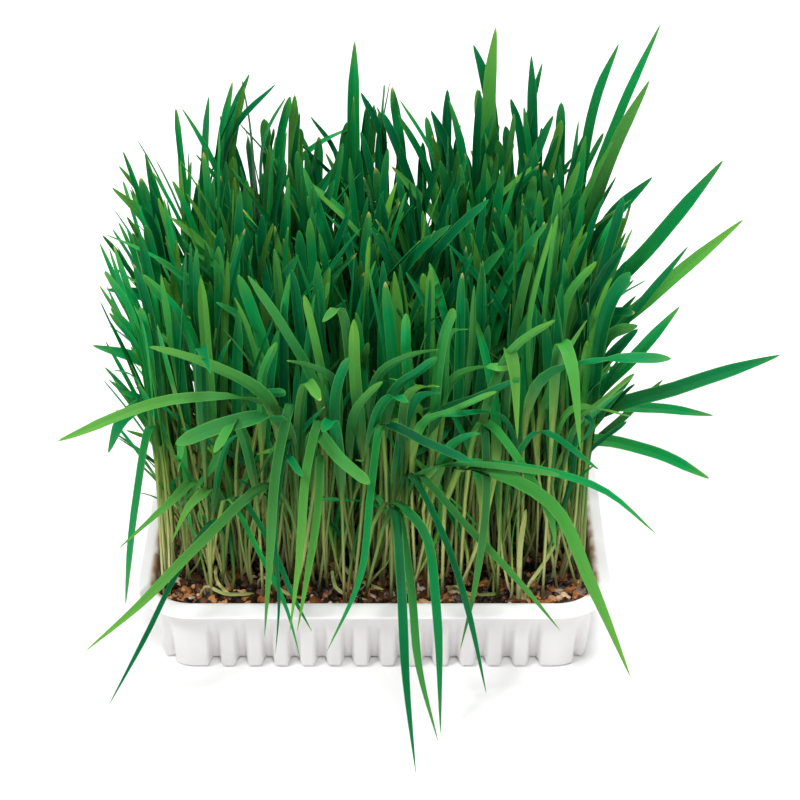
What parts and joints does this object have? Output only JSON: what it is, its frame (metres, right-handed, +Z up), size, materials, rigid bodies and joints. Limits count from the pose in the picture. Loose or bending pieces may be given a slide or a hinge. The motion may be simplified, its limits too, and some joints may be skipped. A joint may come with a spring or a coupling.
{
  "type": "wheatgrass tray",
  "caption": "Shallow fluted plastic tray of growing mix with a dense stand of young wheatgrass, some blades arching over the rim.",
  "frame": {"origin": "middle of the tray's underside, on the surface it stands on", "axes": "+X along the long side of the tray, +Y toward its back, +Z up"},
  "size_m": [0.287, 0.1991, 0.246],
  "materials": {
    "tray": "white thermoformed plastic with a soft sheen",
    "soil": "damp brown granules of bark and vermiculite",
    "grass": "fresh green leaf, satin, paler toward the stem"
  },
  "bodies": {
    "root": {"tray": "tray", "soil": "soil", "tuft_01": "grass", "tuft_02": "grass", "tuft_03": "grass", "tuft_04": "grass", "tuft_05": "grass", "tuft_06": "grass", "tuft_07": "grass", "tuft_08": "grass", "tuft_09": "grass", "tuft_10": "grass", "tuft_11": "grass", "tuft_12": "grass", "tuft_13": "grass", "tuft_14": "grass", "tuft_15": "grass", "fringe_front": "grass", "fringe_back": "grass", "fringe_left": "grass", "fringe_right": "grass"}
  },
  "joints": []
}
